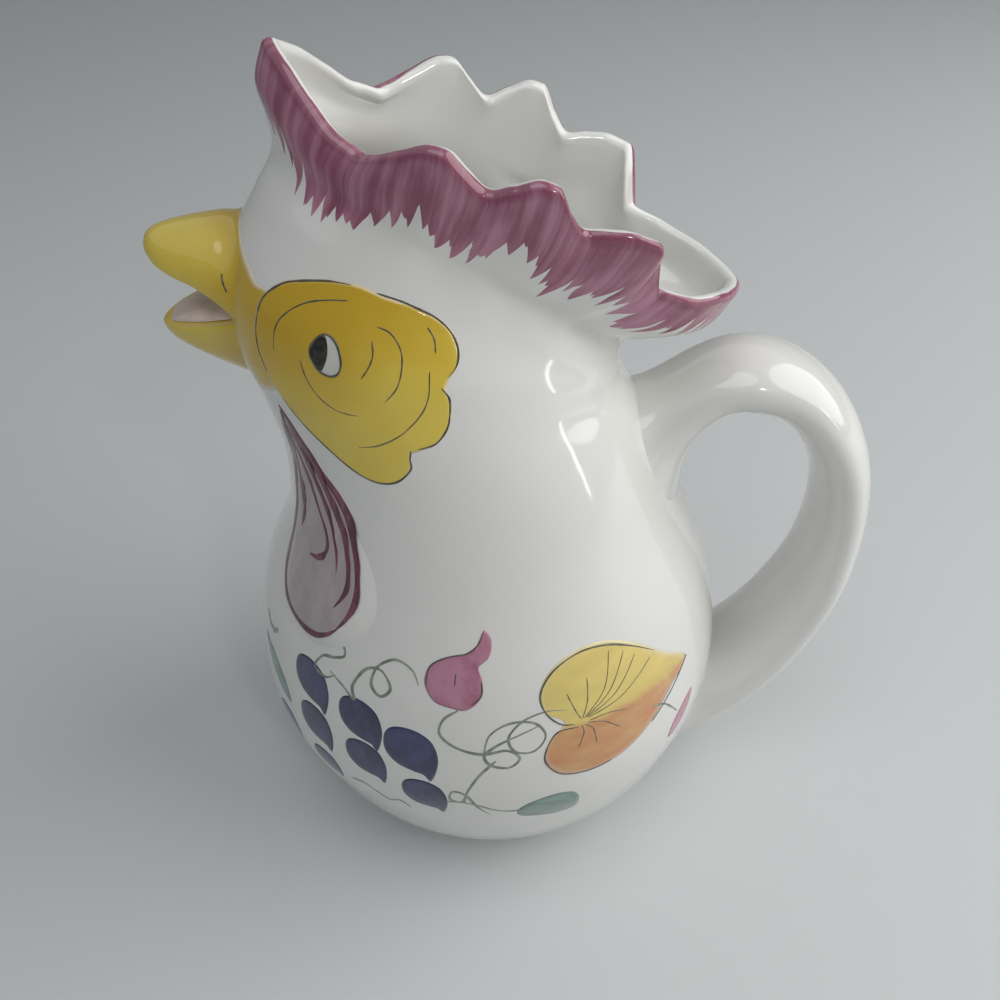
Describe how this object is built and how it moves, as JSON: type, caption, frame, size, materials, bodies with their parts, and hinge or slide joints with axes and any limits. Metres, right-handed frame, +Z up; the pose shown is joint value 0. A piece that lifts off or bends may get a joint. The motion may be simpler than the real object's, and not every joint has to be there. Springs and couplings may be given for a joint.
{
  "type": "pitcher",
  "caption": "Rooster-shaped glazed earthenware pitcher with a scalloped comb collar, open beak, wattles and an arched strap handle.",
  "frame": {"origin": "centre of the foot ring, on the table", "axes": "+Z up through the belly, -X towards the beak, +X towards the handle, Y across the bird"},
  "size_m": [0.2063, 0.15, 0.2609],
  "materials": {
    "white_glaze": "gloss",
    "plum_glaze": "gloss",
    "yellow_glaze": "gloss",
    "blush_glaze": "gloss",
    "mauve_glaze": "gloss"
  },
  "bodies": {
    "root": {"body": "white_glaze", "comb": "plum_glaze", "handle": "white_glaze", "upper_beak": "yellow_glaze", "lower_beak": "yellow_glaze", "tongue": "blush_glaze", "left_wattle": "mauve_glaze", "right_wattle": "mauve_glaze", "foot_ring": "white_glaze"}
  },
  "joints": []
}
